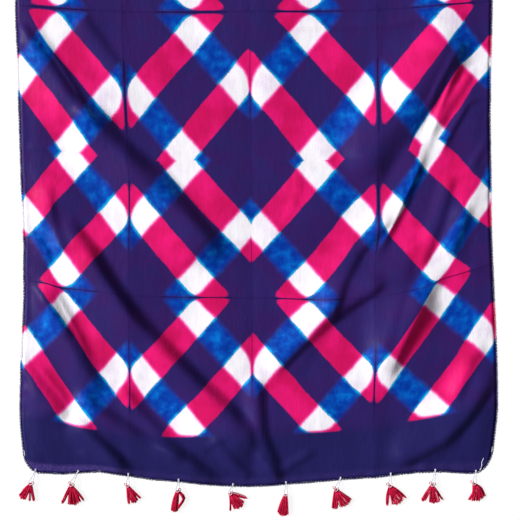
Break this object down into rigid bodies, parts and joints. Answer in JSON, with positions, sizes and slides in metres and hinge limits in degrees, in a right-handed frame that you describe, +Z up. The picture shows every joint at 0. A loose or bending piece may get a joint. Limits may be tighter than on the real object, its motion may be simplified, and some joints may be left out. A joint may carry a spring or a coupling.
{
  "type": "silk scarf",
  "caption": "Long silk stole laid flat with soft folds, clamp-dyed in a lattice of pink, blue and white bands on indigo, with a picot edging and small yarn tassels at both ends.",
  "frame": {"origin": "under the middle of the stole's bounding box, on the surface that it lies on", "axes": "+X to the right across the cloth and +Y along its length away from the shown end, both in the surface; +Z up out of the surface"},
  "size_m": [0.5428, 1.898, 0.0093],
  "materials": {
    "silk": "plain-weave silk with a soft sheen, clamp-dyed",
    "edging_thread": "dull sewn picot thread",
    "tassel_yarn": "soft dull yarn",
    "tie_thread": "white thread"
  },
  "bodies": {
    "root": {"cloth": "silk", "edging_left": "edging_thread", "edging_right": "edging_thread", "edging_near": "edging_thread", "edging_far": "edging_thread", "tassel_01": "tassel_yarn", "tassel_02": "tassel_yarn", "tassel_03": "tassel_yarn", "tassel_04": "tassel_yarn", "tassel_05": "tassel_yarn", "tassel_06": "tassel_yarn", "tassel_07": "tassel_yarn", "tassel_08": "tassel_yarn", "tassel_09": "tassel_yarn", "tassel_10": "tassel_yarn", "tassel_11": "tassel_yarn", "tassel_12": "tassel_yarn", "tassel_13": "tassel_yarn", "tassel_14": "tassel_yarn", "tassel_15": "tassel_yarn", "tassel_16": "tassel_yarn", "tassel_17": "tassel_yarn", "tassel_18": "tassel_yarn", "tassel_19": "tassel_yarn", "tassel_20": "tassel_yarn", "tie_01": "tie_thread", "tie_02": "tie_thread", "tie_03": "tie_thread", "tie_04": "tie_thread", "tie_05": "tie_thread", "tie_06": "tie_thread", "tie_07": "tie_thread", "tie_08": "tie_thread", "tie_09": "tie_thread", "tie_10": "tie_thread", "tie_11": "tie_thread", "tie_12": "tie_thread", "tie_13": "tie_thread", "tie_14": "tie_thread", "tie_15": "tie_thread", "tie_16": "tie_thread", "tie_17": "tie_thread", "tie_18": "tie_thread", "tie_19": "tie_thread", "tie_20": "tie_thread"}
  },
  "joints": []
}
